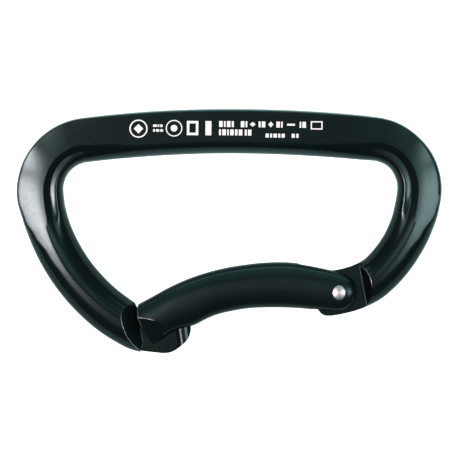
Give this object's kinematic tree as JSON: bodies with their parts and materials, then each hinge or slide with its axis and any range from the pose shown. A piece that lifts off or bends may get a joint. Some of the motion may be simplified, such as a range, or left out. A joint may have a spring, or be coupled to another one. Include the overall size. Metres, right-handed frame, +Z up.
{
  "type": "bent-gate carabiner",
  "caption": "Asymmetric D carabiner with a bent, spring-closed gate on a riveted hinge and a key-lock nose, for clipping rope or slings.",
  "frame": {"origin": "centre of the footprint of the part lying on its back face", "axes": "+X along the spine from the nose end to the hinge end, +Y from the gate towards the spine, +Z up out of the front face"},
  "size_m": [0.1081, 0.0622, 0.011],
  "materials": {
    "anodised_frame": "satin black anodised",
    "anodised_gate": "satin black anodised",
    "rivet_steel": "bright, peened",
    "spring_wire": "drawn stainless wire",
    "plunger_steel": "turned"
  },
  "bodies": {
    "frame_body": {"frame": "anodised_frame"},
    "gate_body": {"gate": "anodised_gate", "hinge_rivet": "rivet_steel", "gate_spring": "spring_wire"},
    "plunger_body": {"spring_plunger": "plunger_steel"}
  },
  "joints": [
    {"name": "gate_hinge", "type": "hinge", "parent": "frame_body", "child": "gate_body", "pos_m": [0.02793, -0.01572, 0.0055], "axis": [0, 0, -1], "range_deg": [0, 44], "stiffness_Nm_per_rad": 0.33, "springref_deg": -42.97},
    {"name": "plunger_slide", "type": "slide", "parent": "gate_body", "child": "plunger_body", "axis": [-0.9986, 0.0523, 0], "range_m": [0, 0.0017], "deforming": ["gate_spring"]}
  ],
  "couplings": [
    {"joint": "plunger_slide", "follows": "gate_hinge", "m_per_rad": 0.0022}
  ]
}
